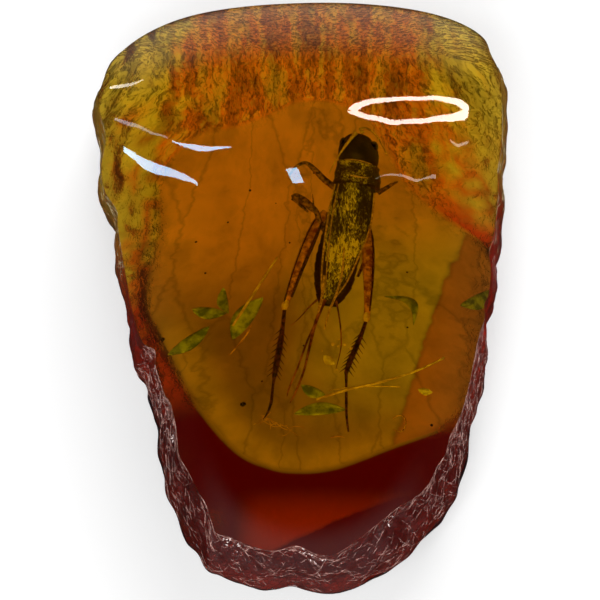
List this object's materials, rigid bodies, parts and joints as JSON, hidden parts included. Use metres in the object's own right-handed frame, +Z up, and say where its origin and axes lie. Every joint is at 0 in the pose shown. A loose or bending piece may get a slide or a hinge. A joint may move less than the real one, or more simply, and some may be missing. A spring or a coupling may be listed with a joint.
{
  "type": "insect paperweight in amber resin",
  "caption": "Domed block of cast amber resin with a rough broken flank and a flat ground back, holding a sealed cricket with leaves and stems, as a display specimen or paperweight.",
  "frame": {"origin": "under the middle of the block's box, on the plane of the facet ground on its back", "axes": "+X to the right of the polished face, +Y towards the block's broad end, +Z up out of the polished face"},
  "size_m": [0.063, 0.092, 0.03],
  "materials": {
    "amber_resin": "clear cast resin dyed amber: the dome polished, the flank and back left rough and broken, the resting facet ground flat"
  },
  "bodies": {
    "root": {"resin_block": "amber_resin"}
  },
  "joints": []
}
